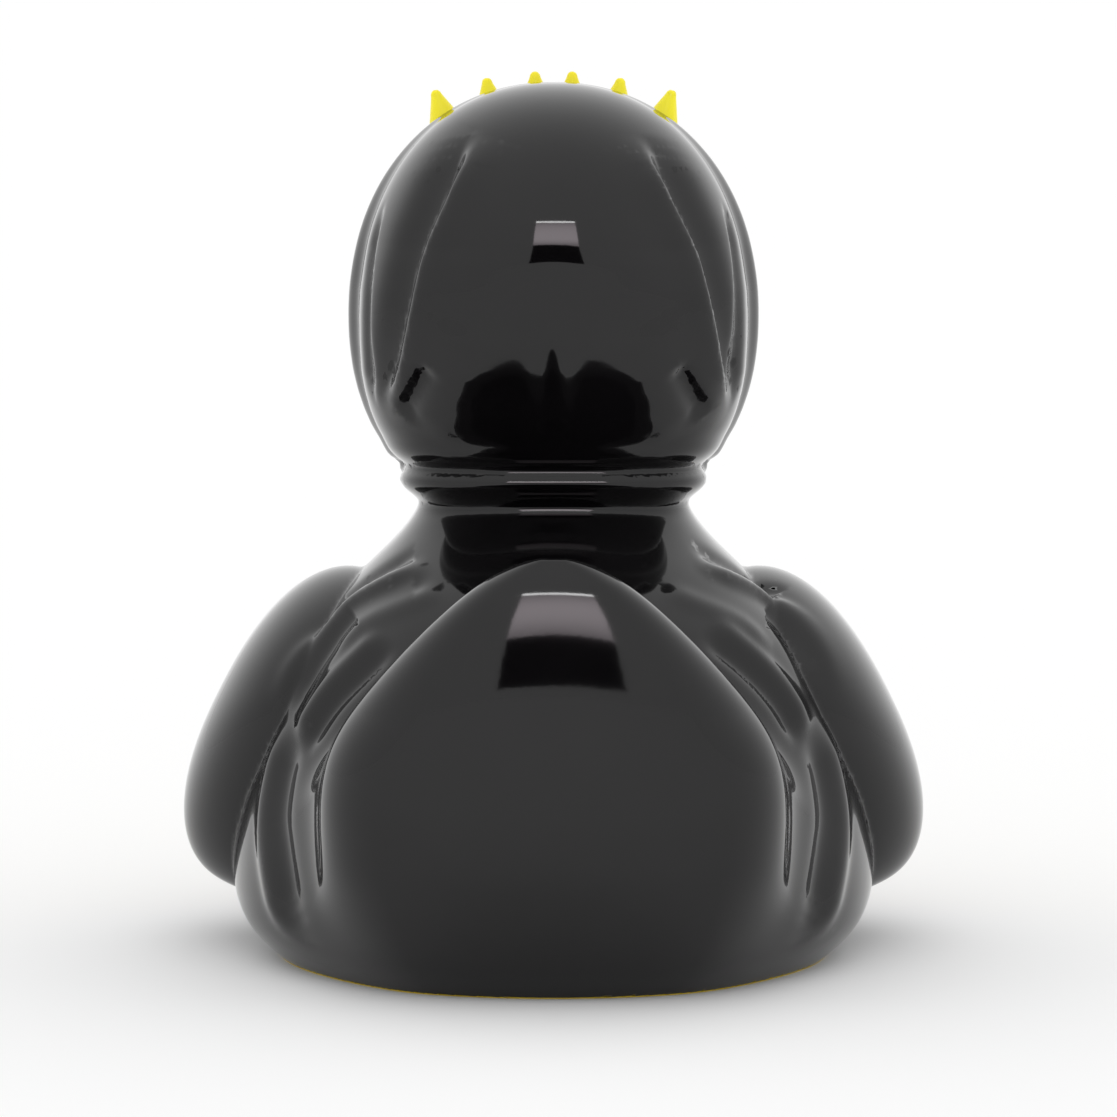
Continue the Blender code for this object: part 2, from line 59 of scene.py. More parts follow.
# Robe
# The lower body is a bell with a flat foot. It is part of the one vinyl moulding, as are the tail,
# wings, neck and hood below. Each is given here as its distance in millimetres from the surface,
# negative inside, and they are joined into one skin further on.
ROBE_TOP = 45.2
ROBE_SQUARENESS = 2.06  # exponent of the plan outline: 2 is an ellipse
SHOULDER_SQUARENESS = 2.7
NECK_Y = -5.0  # the robe's middle line moves forward to here at the neck
ROBE_ROWS = (  # height, half width, reach to the rear, reach to the front
    (-2.0, 25.0, 26.4, 24.8),
    (0.0, 27.4, 29.0, 27.6),
    (1.0, 28.8, 30.4, 29.2),
    (3.0, 30.8, 32.4, 32.0),
    (6.5, 32.1, 33.8, 34.2),
    (10.5, 32.0, 33.4, 35.2),
    (16.0, 31.1, 31.6, 35.2),
    (22.0, 29.4, 29.2, 34.2),
    (27.0, 27.6, 27.2, 32.4),
    (31.0, 25.4, 25.0, 30.0),
    (35.0, 22.2, 21.8, 26.8),
    (38.0, 19.1, 18.3, 24.3),
    (39.5, 17.5, 15.8, 22.7),
    (41.0, 15.9, 13.2, 20.9),
    (42.0, 15.0, 11.6, 20.0),
    (43.5, 13.9, 9.5, 18.8),
    (46.0, 12.6, 7.6, 17.6),
)


def eased(rows, ease):
    """Columns of a table of heights as smooth curves: straight between the rows, then rounded."""
    rows = np.array(rows)
    step = 0.01
    heights = np.arange(rows[0, 0], rows[-1, 0] + step, step)
    reach = int(4 * ease / step)
    bell = np.exp(-0.5 * (np.arange(-reach, reach + 1) * step / ease) ** 2)
    bell /= bell.sum()
    curves = []
    for column in rows[:, 1:].T:
        straight = np.interp(heights, rows[:, 0], column)
        padded = np.pad(straight, reach, mode="reflect", reflect_type="odd")
        curves.append(np.convolve(padded, bell, mode="valid"))
    slopes = [np.gradient(curve, step) for curve in curves]

    def at(z):
        values = [np.interp(z, heights, curve) for curve in curves]
        return values, [np.interp(z, heights, slope) for slope in slopes]

    return at


robe_at = eased(ROBE_ROWS, 1.3)


def robe(x, y, z):
    (half, rear, front), (half_slope, rear_slope, front_slope) = robe_at(z)
    rise = np.clip(z / ROBE_TOP, 0.0, 1.0) ** 2
    middle = NECK_Y * rise
    squareness = ROBE_SQUARENESS + (SHOULDER_SQUARENESS - ROBE_SQUARENESS) * rise
    back = y - middle
    reach = np.where(back > 0, rear - middle, front + middle)
    reach_slope = np.where(back > 0, rear_slope, front_slope)
    fullness = (np.abs(x / half) ** squareness + np.abs(back / reach) ** squareness) ** (
        1 / squareness
    )
    from_middle = np.sqrt(x * x + back * back) + 1e-6
    slope = (x * x * half_slope + back * back * reach_slope) / from_middle**2
    side = from_middle * (1 - 1 / np.maximum(fullness, 0.02)) / np.sqrt(1 + slope**2)
    return np.maximum(side, z - ROBE_TOP)


# Tail
# A broad tongue that turns up behind the robe and carries its back down to the foot. Its rear
# face is nearly flat, its edges are round, and its tip is a little thicker than the wall.
TAIL_TIP_Z = 42.9
TAIL_TIP_RADIUS = 8.5  # of the tip, seen from behind
TAIL_FLARE = 0.72  # width gained on each side for each millimetre further down
TAIL_EDGE = 2.3  # radius of the tip's own edge
TAIL_THICKENING = 0.62  # thickness gained for each millimetre further down
TAIL_ROWS = (  # height, reach to the rear, widest half width, radius of the face seen from above
    (-2.0, 26.2, 16.0, 26.0),
    (0.0, 28.9, 17.5, 30.0),
    (3.0, 32.3, 19.5, 36.0),
    (7.0, 35.7, 21.0, 48.0),
    (12.0, 38.3, 22.0, 62.0),
    (18.0, 39.6, 22.6, 72.0),
    (24.0, 39.95, 23.0, 72.0),
    (30.0, 39.8, 24.0, 63.0),
    (33.5, 39.5, 24.0, 56.0),
    (36.7, 39.05, 24.0, 48.0),
    (38.5, 38.75, 24.0, 40.0),
    (40.0, 38.3, 24.0, 33.0),
    (41.5, 37.65, 24.0, 28.0),
    (44.0, 36.2, 24.0, 26.0),
)
tail_at = eased(TAIL_ROWS, 1.6)


def tail(x, y, z):
    (rear, widest, bend), _ = tail_at(z)
    drop = np.maximum(TAIL_TIP_Z - z, 1e-4)
    half = np.sqrt(2 * TAIL_TIP_RADIUS * drop + (TAIL_FLARE * drop) ** 2)
    half = (half**-10.0 + widest**-10.0) ** -0.1
    edge = np.minimum(drop, TAIL_EDGE)
    thick = np.sqrt(2 * TAIL_EDGE * edge - edge**2)
    thick = thick + 0.5 * TAIL_THICKENING * np.maximum(drop - TAIL_EDGE, 0.0)
    round_edge = np.minimum(0.96 * thick, 6.0)
    across = np.abs(x) - half + round_edge
    back = np.abs(y - rear + thick + x * x / (2 * bend)) - thick + round_edge
    outside = np.sqrt(np.maximum(across, 0.0) ** 2 + np.maximum(back, 0.0) ** 2)
    side = outside + np.minimum(np.maximum(across, back), 0.0) - round_edge
    return np.maximum(side, z - TAIL_TIP_Z)


# Wings
# Two puffed pads at the sides. They lean in at the top, taper to a rear tip and meet the robe in
# a crisp crease.
WING_MIDDLE = (25.3, -6.5, 21.3)
WING_HALF = (9.5, 18.0, 17.5)  # thickness, length, height
WING_LEAN = radians(26.9)
WING_SQUARENESS = 2.35
WING_TAPER = 0.42  # share of its height lost at the rear tip
WING_TIP_RISE = 5.0
WING_TAPER_EASE = 1.6


def wing(x, y, z):
    across = np.abs(x) - WING_MIDDLE[0]
    along = (y - WING_MIDDLE[1]) / WING_HALF[1]
    up = z - WING_MIDDLE[2]
    thickness = (across * cos(WING_LEAN) + up * sin(WING_LEAN)) / WING_HALF[0]
    height = up * cos(WING_LEAN) - across * sin(WING_LEAN)
    rearward = np.clip(along, 0.0, 1.0) ** WING_TAPER_EASE
    height = (height - WING_TIP_RISE * rearward) / (1 - WING_TAPER * rearward) / WING_HALF[2]
    powers = np.abs(thickness) ** WING_SQUARENESS + np.abs(along) ** WING_SQUARENESS
    fullness = (powers + np.abs(height) ** WING_SQUARENESS) ** (1 / WING_SQUARENESS)
    from_middle = np.sqrt(across**2 + (y - WING_MIDDLE[1]) ** 2 + up**2)
    return from_middle * (1 - 1 / np.maximum(fullness, 0.02))


# Neck and hood
# The hood is a slightly square egg whose back bulges high up and falls in towards the neck. Its
# lower edge gathers to a rim, with one roll of cloth between it and the robe, and a rolled hem
# runs round the face.
HEAD_Z = 63.0
HEAD_HALF_WIDTH = 19.5
HEAD_HALF_DEPTH = 20.0
HEAD_UP = 23.7
HEAD_DOWN = 23.8
HEAD_SQUARENESS = 2.16
BACK_Z = 68.8  # height where the hood reaches furthest back
BACK_REACH = 21.4
FACE_PLANE = -13.0  # the hood's front edge and the plane of its hem
NECK_TILT = 0.035  # the rolls at the neck sit higher at the rear
HOOD_ROWS = (  # height, half width at the sides, reach from the neck's middle line to the rear
    (42.0, 13.4, 13.4),
    (44.9, 13.4, 13.4),
    (45.6, 14.2, 14.2),
    (46.4, 15.2, 15.3),
    (47.2, 15.5, 15.7),
    (47.9, 15.1, 15.3),
    (48.3, 14.6, 14.8),
    (48.7, 14.9, 15.0),
    (49.4, 15.9, 16.0),
    (50.2, 16.6, 16.3),
    (51.2, 17.05, 16.5),
    (52.5, 17.75, 16.95),
    (54.0, 18.35, 17.55),
    (56.0, 18.9, 18.4),
    (58.0, 19.25, 19.2),
    (61.0, 19.45, 20.25),
    (63.6, 19.5, 20.9),
    (66.0, 19.4, 21.25),
    (68.8, 19.0, 21.4),
    (71.0, 18.6, 21.3),
    (73.0, 18.04, 20.95),
    (76.0, 16.82, 19.9),
    (79.0, 15.05, 18.1),
    (82.0, 12.3, 15.0),
)
BACK_SQUARENESS = ((42.0, 46.0, 58.0, 64.0, 71.0), (2.3, 3.1, 3.1, 2.6, HEAD_SQUARENESS))
DOME_FROM, DOME_TO = 69.0, 76.0  # between these heights the rows give way to the egg's dome
HEM_TUBE = 2.0
HEM_OUT = 0.3
HEM_SINK = 1.6
HEM_LOW = 0.86
HEM_FROM_MIDDLE = NECK_Y - FACE_PLANE
hood_at = eased(HOOD_ROWS, 0.32)


def egg(x, y, z):
    """The plain head under the hood, which also shapes the face."""
    up = z - HEAD_Z
    height = np.abs(up / np.where(up > 0, HEAD_UP, HEAD_DOWN))
    back = y - NECK_Y
    powers = np.abs(x / HEAD_HALF_WIDTH) ** HEAD_SQUARENESS
    powers = powers + np.abs(back / HEAD_HALF_DEPTH) ** HEAD_SQUARENESS
    fullness = (powers + height**HEAD_SQUARENESS) ** (1 / HEAD_SQUARENESS)
    return np.sqrt(x * x + back * back + up * up) * (1 - 1 / np.maximum(fullness, 0.02))


def dome(x, y, z):
    """The hood's crown: the egg with its middle raised towards the rear."""
    back = y - NECK_Y
    rearward = np.where(back > 0, back * back / (back * back + x * x + 1e-6), 0.0)
    middle = HEAD_Z + (BACK_Z - HEAD_Z) * rearward
    depth = HEAD_HALF_DEPTH + (BACK_REACH - HEAD_HALF_DEPTH) * rearward
    up = z - middle
    reach = HEAD_Z + HEAD_UP - middle
    powers = np.abs(x / HEAD_HALF_WIDTH) ** HEAD_SQUARENESS
    powers = powers + np.abs(back / depth) ** HEAD_SQUARENESS
    fullness = (powers + np.abs(up / reach) ** HEAD_SQUARENESS) ** (1 / HEAD_SQUARENESS)
    return np.sqrt(x * x + back * back + up * up) * (1 - 1 / np.maximum(fullness, 0.02))


def gathered(x, y, z):
    """The hood's lower part, the rim, the roll and the neck."""
    back = y - NECK_Y
    (side, rear), (slope, _) = hood_at(z - NECK_TILT * back)
    squareness = np.interp(z, BACK_SQUARENESS[0], BACK_SQUARENESS[1])
    squareness = np.where(back > 0, squareness, HEAD_SQUARENESS)
    reach = np.where(back > 0, rear, side)
    powers = np.abs(x / side) ** squareness + np.abs(back / reach) ** squareness
    fullness = powers ** (1 / squareness)
    from_middle = np.sqrt(x * x + back * back)
    return from_middle * (1 - 1 / np.maximum(fullness, 0.02)) / np.sqrt(1 + slope**2)


def hood(x, y, z):
    share = np.clip((z - DOME_FROM) / (DOME_TO - DOME_FROM), 0.0, 1.0)
    share = share * share * (3 - 2 * share)
    return (1 - share) * gathered(x, y, z) + share * dome(x, y, z)


def hem(x, y, z):
    n = HEAD_SQUARENESS
    narrowing = (1 - (HEM_FROM_MIDDLE / HEAD_HALF_DEPTH) ** n) ** (1 / n)
    half = HEAD_HALF_WIDTH * narrowing + HEM_OUT
    up = z - HEAD_Z
    reach = np.where(up > 0, HEAD_UP * narrowing - HEM_SINK, HEM_LOW * HEAD_DOWN * narrowing)
    fullness = (np.abs(x / half) ** n + np.abs(up / reach) ** n) ** (1 / n)
    flat = np.sqrt(x * x + up * up) * (1 - 1 / np.maximum(fullness, 0.02))
    return np.sqrt(flat**2 + (y - FACE_PLANE) ** 2) - HEM_TUBE


# Folds
# Soft ridges and valleys of the draped cloth, moulded in the vinyl. Each runs along a line given
# by distance from the middle and height, as seen from behind, on the hood or on the robe.


def on_hood(x, z):
    (side, rear), _ = hood_at(z)
    squareness = np.interp(z, BACK_SQUARENESS[0], BACK_SQUARENESS[1])
    share = max(1 - abs(x / side) ** squareness, 0.0) ** (1 / squareness)
    return np.array((x, NECK_Y + rear * share, z))


def on_robe(x, z):
    (half, rear, _), _ = robe_at(z)
    middle = NECK_Y * (z / ROBE_TOP) ** 2
    share = max(1 - (x / half) ** 2, 0.0) ** 0.5
    return np.array((x, middle + (rear - middle) * share, z))


def smooth_line(places, count):
    """Points on a smooth curve through a few places."""
    places = np.array(places, float)
    ends = np.vstack((2 * places[0] - places[1], places, 2 * places[-1] - places[-2]))
    line = []
    for a, b, c, d in zip(ends, ends[1:], ends[2:], ends[3:]):
        for t in np.arange(count) / count:
            curved = (2 * a - 5 * b + 4 * c - d) * t**2 + (3 * b - a - 3 * c + d) * t**3
            line.append(0.5 * (2 * b + (c - a) * t + curved))
    line.append(places[-1])
    return line


FOLD_DEPTH = 2.5  # a fold shapes only what lies this near to its own cloth


def at_points(form):
    """A form's distance as one value for each row of an array of points."""
    return lambda points: form(points[:, 0], points[:, 1], points[:, 2])


def slope_of(field, points, step=0.04):
    columns = []
    for axis in range(3):
        shift = np.zeros(3)
        shift[axis] = step
        columns.append((field(points + shift) - field(points - shift)) / (2 * step))
    return np.stack(columns, axis=1)


def fold(surface, form, places, height, inner, outer, shift):
    """A ridge, or a valley if its height is negative, with its own width on each side."""
    line = np.array([surface(x, z) for x, z in smooth_line(places, 4)])
    start, run = line[:-1], np.diff(line, axis=0)
    length = np.linalg.norm(run, axis=1)
    travelled = np.concatenate(([0.0], np.cumsum(length)))
    centre = 0.5 * (line[:-1] + line[1:])
    towards = np.cross(run, slope_of(at_points(form), centre))
    away = np.sign(towards[:, 0] * centre[:, 0] + 1e-9)
    towards *= away[:, None] / np.linalg.norm(towards, axis=1)[:, None]

    def raised(points):
        low = line.min(axis=0) - 7.0
        high = line.max(axis=0) + 7.0
        near = np.flatnonzero(np.all((points > low) & (points < high), axis=1))
        lift = np.zeros(len(points))
        if len(near) == 0:
            return lift
        apart = points[near, None, :] - start[None, :, :]
        t = np.clip(np.einsum("pij,ij->pi", apart, run) / length**2, 0.0, 1.0)
        gap = apart - t[:, :, None] * run[None, :, :]
        distance = np.linalg.norm(gap, axis=2)
        nearest = distance.argmin(axis=1)
        row = np.arange(len(near))
        beside = np.einsum("pj,pj->p", gap[row, nearest], towards[nearest])
        above = np.sqrt(np.maximum(distance[row, nearest] ** 2 - beside**2, 0.0))
        beside = beside - shift
        width = np.where(beside > 0, outer, inner)
        along = (travelled[nearest] + t[row, nearest] * length[nearest]) / travelled[-1]
        fade = np.clip(np.minimum(along, 1 - along) / 0.22, 0.0, 1.0)
        fade = fade * fade * (3 - 2 * fade)
        lift[near] = height * fade * np.exp(-((beside / width) ** 2) - (above / FOLD_DEPTH) ** 4)
        return lift

    return raised


HOOD_INNER_LEFT = ((6.6, 82.5), (8.6, 79.0), (12.0, 71.5), (13.5, 66.0), (15.0, 59.0), (16.6, 54.0))
HOOD_INNER_RIGHT = (
    (-7.6, 82.0),
    (-9.6, 79.0),
    (-13.3, 71.5),
    (-14.5, 68.0),
    (-15.8, 62.6),
    (-17.3, 54.0),
)
HOOD_OUTER = ((16.6, 75.5), (17.7, 71.0), (18.3, 65.0), (18.3, 60.0), (17.6, 54.5))
HOOD_POCKET = ((12.4, 60.0), (13.6, 57.5), (15.2, 54.5))
HOOD_LOBE = ((8.6, 64.5), (9.6, 60.0), (10.6, 56.0), (11.4, 51.4))
HOOD_MIDDLE = ((0.2, 65.5), (0.1, 61.0), (0.0, 57.0), (0.0, 52.0))
ROBE_UPPER_LEFT = ((11.3, 39.6), (18.5, 35.8), (21.1, 33.2), (23.7, 29.6), (26.4, 24.5))
ROBE_UPPER_RIGHT = (
    (-13.0, 39.2),
    (-19.2, 36.4),
    (-22.4, 33.4),
    (-25.0, 29.6),
    (-26.8, 25.0),
)
ROBE_SECOND = ((10.0, 37.5), (13.5, 35.8), (18.0, 33.5), (21.0, 30.5))
ROBE_LOWER_LEFT = ((14.4, 32.5), (17.5, 29.5), (20.8, 26.0), (23.9, 21.3))
ROBE_LOWER_RIGHT = ((-13.3, 33.4), (-17.6, 30.0), (-21.0, 26.4), (-23.6, 22.0))
ROBE_PLEAT = ((25.2, 25.0), (27.2, 19.5), (27.9, 14.0), (27.0, 8.0), (25.4, 3.5))


def mirrored(places):
    return tuple((-x, z) for x, z in places)


folds = [
    fold(surface, form, places, height, inner, outer, shift)
    for surface, form, places, height, inner, outer, shift in (
        (on_hood, hood, HOOD_INNER_LEFT, 0.6, 2.4, 1.1, -0.5),
        (on_hood, hood, HOOD_INNER_LEFT, -1.3, 1.1, 3.0, 1.8),
        (on_hood, hood, HOOD_INNER_RIGHT, 0.6, 2.4, 1.1, -0.5),
        (on_hood, hood, HOOD_INNER_RIGHT, -1.3, 1.1, 3.0, 1.8),
        (on_hood, hood, HOOD_OUTER, -0.6, 0.9, 1.4, 0.6),
        (on_hood, hood, mirrored(HOOD_OUTER), -0.6, 0.9, 1.4, 0.6),
        (on_hood, hood, HOOD_POCKET, -0.8, 1.4, 1.0, -0.4),
        (on_hood, hood, mirrored(HOOD_POCKET), -0.8, 1.4, 1.0, -0.4),
        (on_hood, hood, HOOD_LOBE, 0.45, 3.4, 3.4, 0.0),
        (on_hood, hood, mirrored(HOOD_LOBE), 0.45, 3.4, 3.4, 0.0),
        (on_hood, hood, HOOD_MIDDLE, 0.42, 1.9, 1.9, 0.0),
        (on_robe, robe, ROBE_UPPER_LEFT, 0.8, 1.8, 1.4, 0.0),
        (on_robe, robe, ROBE_UPPER_LEFT, -0.5, 1.6, 1.6, -3.0),
        (on_robe, robe, ROBE_UPPER_RIGHT, 0.8, 1.8, 1.4, 0.0),
        (on_robe, robe, ROBE_UPPER_RIGHT, -0.5, 1.6, 1.6, -3.0),
        (on_robe, robe, ROBE_SECOND, 0.3, 1.6, 1.6, 0.0),
        (on_robe, robe, mirrored(ROBE_SECOND), 0.3, 1.6, 1.6, 0.0),
        (on_robe, robe, ROBE_LOWER_LEFT, -0.5, 1.2, 1.4, 0.0),
        (on_robe, robe, ROBE_LOWER_LEFT, 0.5, 1.4, 1.4, 2.8),
        (on_robe, robe, ROBE_LOWER_RIGHT, -0.5, 1.2, 1.4, 0.0),
        (on_robe, robe, ROBE_LOWER_RIGHT, 0.5, 1.4, 1.4, 2.8),
        (on_robe, robe, ROBE_PLEAT, 0.6, 1.9, 1.7, 0.0),
        (on_robe, robe, ROBE_PLEAT, -0.5, 1.9, 1.9, -3.6),
        (on_robe, robe, mirrored(ROBE_PLEAT), 0.6, 1.9, 1.7, 0.0),
        (on_robe, robe, mirrored(ROBE_PLEAT), -0.5, 1.9, 1.9, -3.6),
    )
]


# The skin
# All of the above in one skin of soft vinyl, painted gloss black. It is joined with rounded
# inner corners where the cloth flows, and with crisp ones at the wings and the neck.
SKIN_CELL = 0.56
TAIL_FILLET = 8.0
WING_FILLET = 0.5
NECK_FILLET = 1.0
HEM_FILLET = 7.0
PAINT_EDGE = 0.1  # height where the black paint ends above the foot
VENT_RADIUS = 1.5
VENT_Y = 9.0
VENT_TOP = 6.0


def joined(a, b, fillet):
    """Both solids in one, with the corner between them filled."""
    near = np.maximum(fillet - np.abs(a - b), 0.0) / fillet
    return np.minimum(a, b) - near**3 * fillet / 6


def duck(x, y, z):
    body = joined(robe(x, y, z), tail(x, y, z), TAIL_FILLET)
    body = joined(body, wing(x, y, z), WING_FILLET)
    covered = hood(x, y, z)
    head = np.where(z < 47.0, covered, np.maximum(covered, FACE_PLANE - y))
    body = joined(body, head, NECK_FILLET)
    body = joined(body, hem(x, y, z), HEM_FILLET)
    vent = np.maximum(np.sqrt(x * x + (y - VENT_Y) ** 2) - VENT_RADIUS, z - VENT_TOP)
    return np.maximum(np.maximum(body, PAINT_EDGE - z), -vent)


def draped(points):
    """The finished surface's field at points: the joined forms with the folds on them."""
    field = at_points(duck)(points)
    for raised in folds:
        field = field - raised(points)
    return field


def cells_crossed(values, low, cell):
    """One point in each grid cell that the surface crosses, and the faces between them."""
    inside = values < 0
    shape = np.array(values.shape) - 1
    total = np.zeros((*shape, 3))
    count = np.zeros(shape)
    for axis in range(3):
        first = [slice(None)] * 3
        second = [slice(None)] * 3
        first[axis], second[axis] = slice(None, -1), slice(1, None)
        a, b = values[tuple(first)], values[tuple(second)]
        crossed = inside[tuple(first)] != inside[tuple(second)]
        share = np.where(crossed, a / np.where(crossed, a - b, 1.0), 0.0)
        others = [other for other in range(3) if other != axis]
        for step_one in (0, 1):
            for step_two in (0, 1):
                window = [slice(None)] * 3
                for other, step in zip(others, (step_one, step_two)):
                    window[other] = slice(step, shape[other] + step)
                hit = crossed[tuple(window)]
                count += hit
                total[..., axis] += share[tuple(window)]
                total[..., others[0]] += step_one * hit
                total[..., others[1]] += step_two * hit
    used = count > 0
    corner = np.argwhere(used)
    points = low + (corner + total[used] / count[used][:, None]) * cell
    number = np.full(shape, -1)
    number[used] = np.arange(len(points))
    faces = []
    for axis in range(3):
        first = [slice(None)] * 3
        second = [slice(None)] * 3
        first[axis], second[axis] = slice(None, -1), slice(1, None)
        leaves = inside[tuple(first)] & ~inside[tuple(second)]
        enters = ~inside[tuple(first)] & inside[tuple(second)]
        one, two = (axis + 1) % 3, (axis + 2) % 3
        for edges, outward in ((leaves, True), (enters, False)):
            place = np.argwhere(edges)
            ring = []
            for step_one, step_two in ((1, 1), (0, 1), (0, 0), (1, 0)):
                around = place.copy()
                around[:, one] -= step_one
                around[:, two] -= step_two
                ring.append(number[tuple(around.T)])
            faces.append(np.stack(ring if outward else ring[::-1], axis=1))
    return points, np.vstack(faces)


def relaxed(points, faces):
    """Each point moved to the middle of its neighbours."""
    total = np.zeros_like(points)
    count = np.zeros(len(points))
    for k in range(4):
        here, there = faces[:, k], faces[:, (k + 1) % 4]
        for a, b in ((here, there), (there, here)):
            count += np.bincount(a, minlength=len(points))
            for axis in range(3):
                total[:, axis] += np.bincount(a, points[b, axis], minlength=len(points))
    return total / count[:, None]


def moulded(name, form, finished, low, high, cell, settle=2):
    """A closed mesh of a form, drawn onto its finished surface and shaded by its true normals."""
    axes = [np.arange(a, b + cell, cell) for a, b in zip(low, high)]
    layers = [form(axes[0][:, None], axes[1][None, :], z) for z in axes[2]]
    points, faces = cells_crossed(np.stack(layers, axis=-1), np.array(low, float), cell)
    for turn in range(settle + 1):
        if turn:
            points = 0.5 * (points + relaxed(points, faces))
        for _ in range(2):
            slope = slope_of(finished, points)
            steep = np.maximum((slope**2).sum(axis=1), 0.05)
            move = finished(points) / steep
            points = points - np.clip(move, -0.6, 0.6)[:, None] * slope
    slope = slope_of(finished, points)
    normals = slope / np.linalg.norm(slope, axis=1)[:, None]
    mesh = bpy.data.meshes.new(name)
    mesh.from_pydata((points * 0.001).tolist(), [], faces.tolist())
    mesh.update()
    mesh.shade_smooth()
    mesh.normals_split_custom_set_from_vertices(normals.tolist())
    piece = bpy.data.objects.new(name, mesh)
    bpy.context.scene.collection.objects.link(piece)
    return piece


def finish_nodes(name, colour, roughness):
    made = bpy.data.materials.new(name)
    made.use_nodes = True
    shader = made.node_tree.nodes["Principled BSDF"]
    shader.inputs["Base Color"].default_value = (*colour, 1.0)
    shader.inputs["Roughness"].default_value = roughness
    return made, made.node_tree, shader


def grained(tree, shader, scale, depth, least, most):
    """A fine uneven surface of real depth in metres, with gloss that varies in patches."""
    place = tree.nodes.new("ShaderNodeTexCoord")
    grain = tree.nodes.new("ShaderNodeTexNoise")
    grain.inputs["Scale"].default_value = scale
    grain.inputs["Detail"].default_value = 3.0
    bump = tree.nodes.new("ShaderNodeBump")
    bump.inputs["Strength"].default_value = 1.0
    bump.inputs["Distance"].default_value = depth
    patches = tree.nodes.new("ShaderNodeTexNoise")
    patches.inputs["Scale"].default_value = 0.2 * scale
    spread = tree.nodes.new("ShaderNodeMapRange")
    spread.inputs["To Min"].default_value = least
    spread.inputs["To Max"].default_value = most
    tree.links.new(place.outputs["Object"], grain.inputs["Vector"])
    tree.links.new(place.outputs["Object"], patches.inputs["Vector"])
    tree.links.new(grain.outputs["Fac"], bump.inputs["Height"])
    tree.links.new(bump.outputs["Normal"], shader.inputs["Normal"])
    tree.links.new(patches.outputs["Fac"], spread.inputs["Value"])
    tree.links.new(spread.outputs["Result"], shader.inputs["Roughness"])


def mottled(tree, shader, scale, dark, light):
    """Paint or vinyl whose colour drifts a little over the surface."""
    place = tree.nodes.new("ShaderNodeTexCoord")
    drift = tree.nodes.new("ShaderNodeTexNoise")
    drift.inputs["Scale"].default_value = scale
    drift.inputs["Detail"].default_value = 4.0
    colours = tree.nodes.new("ShaderNodeValToRGB")
    colours.color_ramp.elements[0].position = 0.35
    colours.color_ramp.elements[0].color = (*dark, 1.0)
    colours.color_ramp.elements[1].position = 0.65
    colours.color_ramp.elements[1].color = (*light, 1.0)
    tree.links.new(place.outputs["Object"], drift.inputs["Vector"])
    tree.links.new(drift.outputs["Fac"], colours.inputs["Fac"])
    tree.links.new(colours.outputs["Color"], shader.inputs["Base Color"])


def black_gloss():
    """Gloss black paint over vinyl, with a fine orange peel."""
    made, tree, shader = finish_nodes("black_gloss", (0.003, 0.003, 0.003), 0.05)
    shader.inputs["IOR"].default_value = 1.46
    mottled(tree, shader, 60.0, (0.0018, 0.0016, 0.0019), (0.0036, 0.0032, 0.0037))
    grained(tree, shader, 420.0, 0.000004, 0.03, 0.08)
    return made


def declared(piece, finish):
    """Every piece is part of the one moulding: it rides with it and stands for it."""
    piece.data.materials.append(finish)
    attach(piece, "root")
    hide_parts("duck_body")


skin_low = (-39.0, -38.0, -1.0)
skin_high = (39.0, 41.5, 88.5)
skin = moulded("black_skin", duck, draped, skin_low, skin_high, SKIN_CELL)
declared(skin, black_gloss())

# Foot
# The flat foot is left unpainted, so the bare yellow vinyl shows as a hairline round it. Its yellow
# is darkened to an ochre as painted shade, where the foot meets the floor. The air hole of the hollow
# moulding goes up through it.
FOOT_EDGE_ROUND = 0.15
FOOT_SIDES = 160
FOOT_SINK = 0.04  # overlap with the painted skin above


def foot_reach(turn):
    """Distance from the middle to the skin's edge where the paint ends."""
    inside, outside = 5.0, 45.0
    for _ in range(24):
        half_way = 0.5 * (inside + outside)
        x, y = half_way * sin(turn), half_way * cos(turn)
        values = joined(robe(x, y, PAINT_EDGE), tail(x, y, PAINT_EDGE), TAIL_FILLET)
        inside, outside = (half_way, outside) if values < 0 else (inside, half_way)
    return inside


def ring(shape, places, z):
    return [shape.verts.new((x * 0.001, y * 0.001, z * 0.001)) for x, y in places]


turns = [2 * pi * k / FOOT_SIDES for k in range(FOOT_SIDES)]
edge = [(foot_reach(turn) * sin(turn), foot_reach(turn) * cos(turn)) for turn in turns]
low_edge = [(x * (1 - FOOT_EDGE_ROUND / 30), y * (1 - FOOT_EDGE_ROUND / 30)) for x, y in edge]
hole = [(VENT_RADIUS * sin(turn), VENT_Y + VENT_RADIUS * cos(turn)) for turn in turns]
foot_shape = bmesh.new()
rings = [
    ring(foot_shape, hole, PAINT_EDGE + FOOT_SINK),
    ring(foot_shape, hole, 0.0),
    ring(foot_shape, low_edge, 0.0),
    ring(foot_shape, edge, 0.5 * PAINT_EDGE),
    ring(foot_shape, edge, PAINT_EDGE + FOOT_SINK),
]
for first, second in zip(rings, rings[1:] + rings[:1]):
    for k in range(FOOT_SIDES):
        after = (k + 1) % FOOT_SIDES
        foot_shape.faces.new((first[k], first[after], second[after], second[k]))
bmesh.ops.recalc_face_normals(foot_shape, faces=foot_shape.faces)
foot_mesh = bpy.data.meshes.new("bare_foot")
foot_shape.to_mesh(foot_mesh)
foot_shape.free()
bare_foot = bpy.data.objects.new("bare_foot", foot_mesh)
bpy.context.scene.collection.objects.link(bare_foot)


def bare_vinyl_with_painted_shade():
    # The vinyl's yellow, darkened here as painted shade at the foot's edge.
    made, tree, shader = finish_nodes("bare_vinyl_with_painted_shade", (0.55, 0.38, 0.01), 0.4)
    mottled(tree, shader, 90.0, (0.46, 0.32, 0.008), (0.62, 0.45, 0.014))
    grained(tree, shader, 900.0, 0.00001, 0.34, 0.5)
    return made


declared(bare_foot, bare_vinyl_with_painted_shade())

# Face
# The front of the head shows in the hood's opening. It is part of the vinyl moulding, left
# smooth and plain, and sprayed with satin yellow paint up to the hood's edge.
FACE_SINK = 0.35
FACE_OVERLAP = 1.2


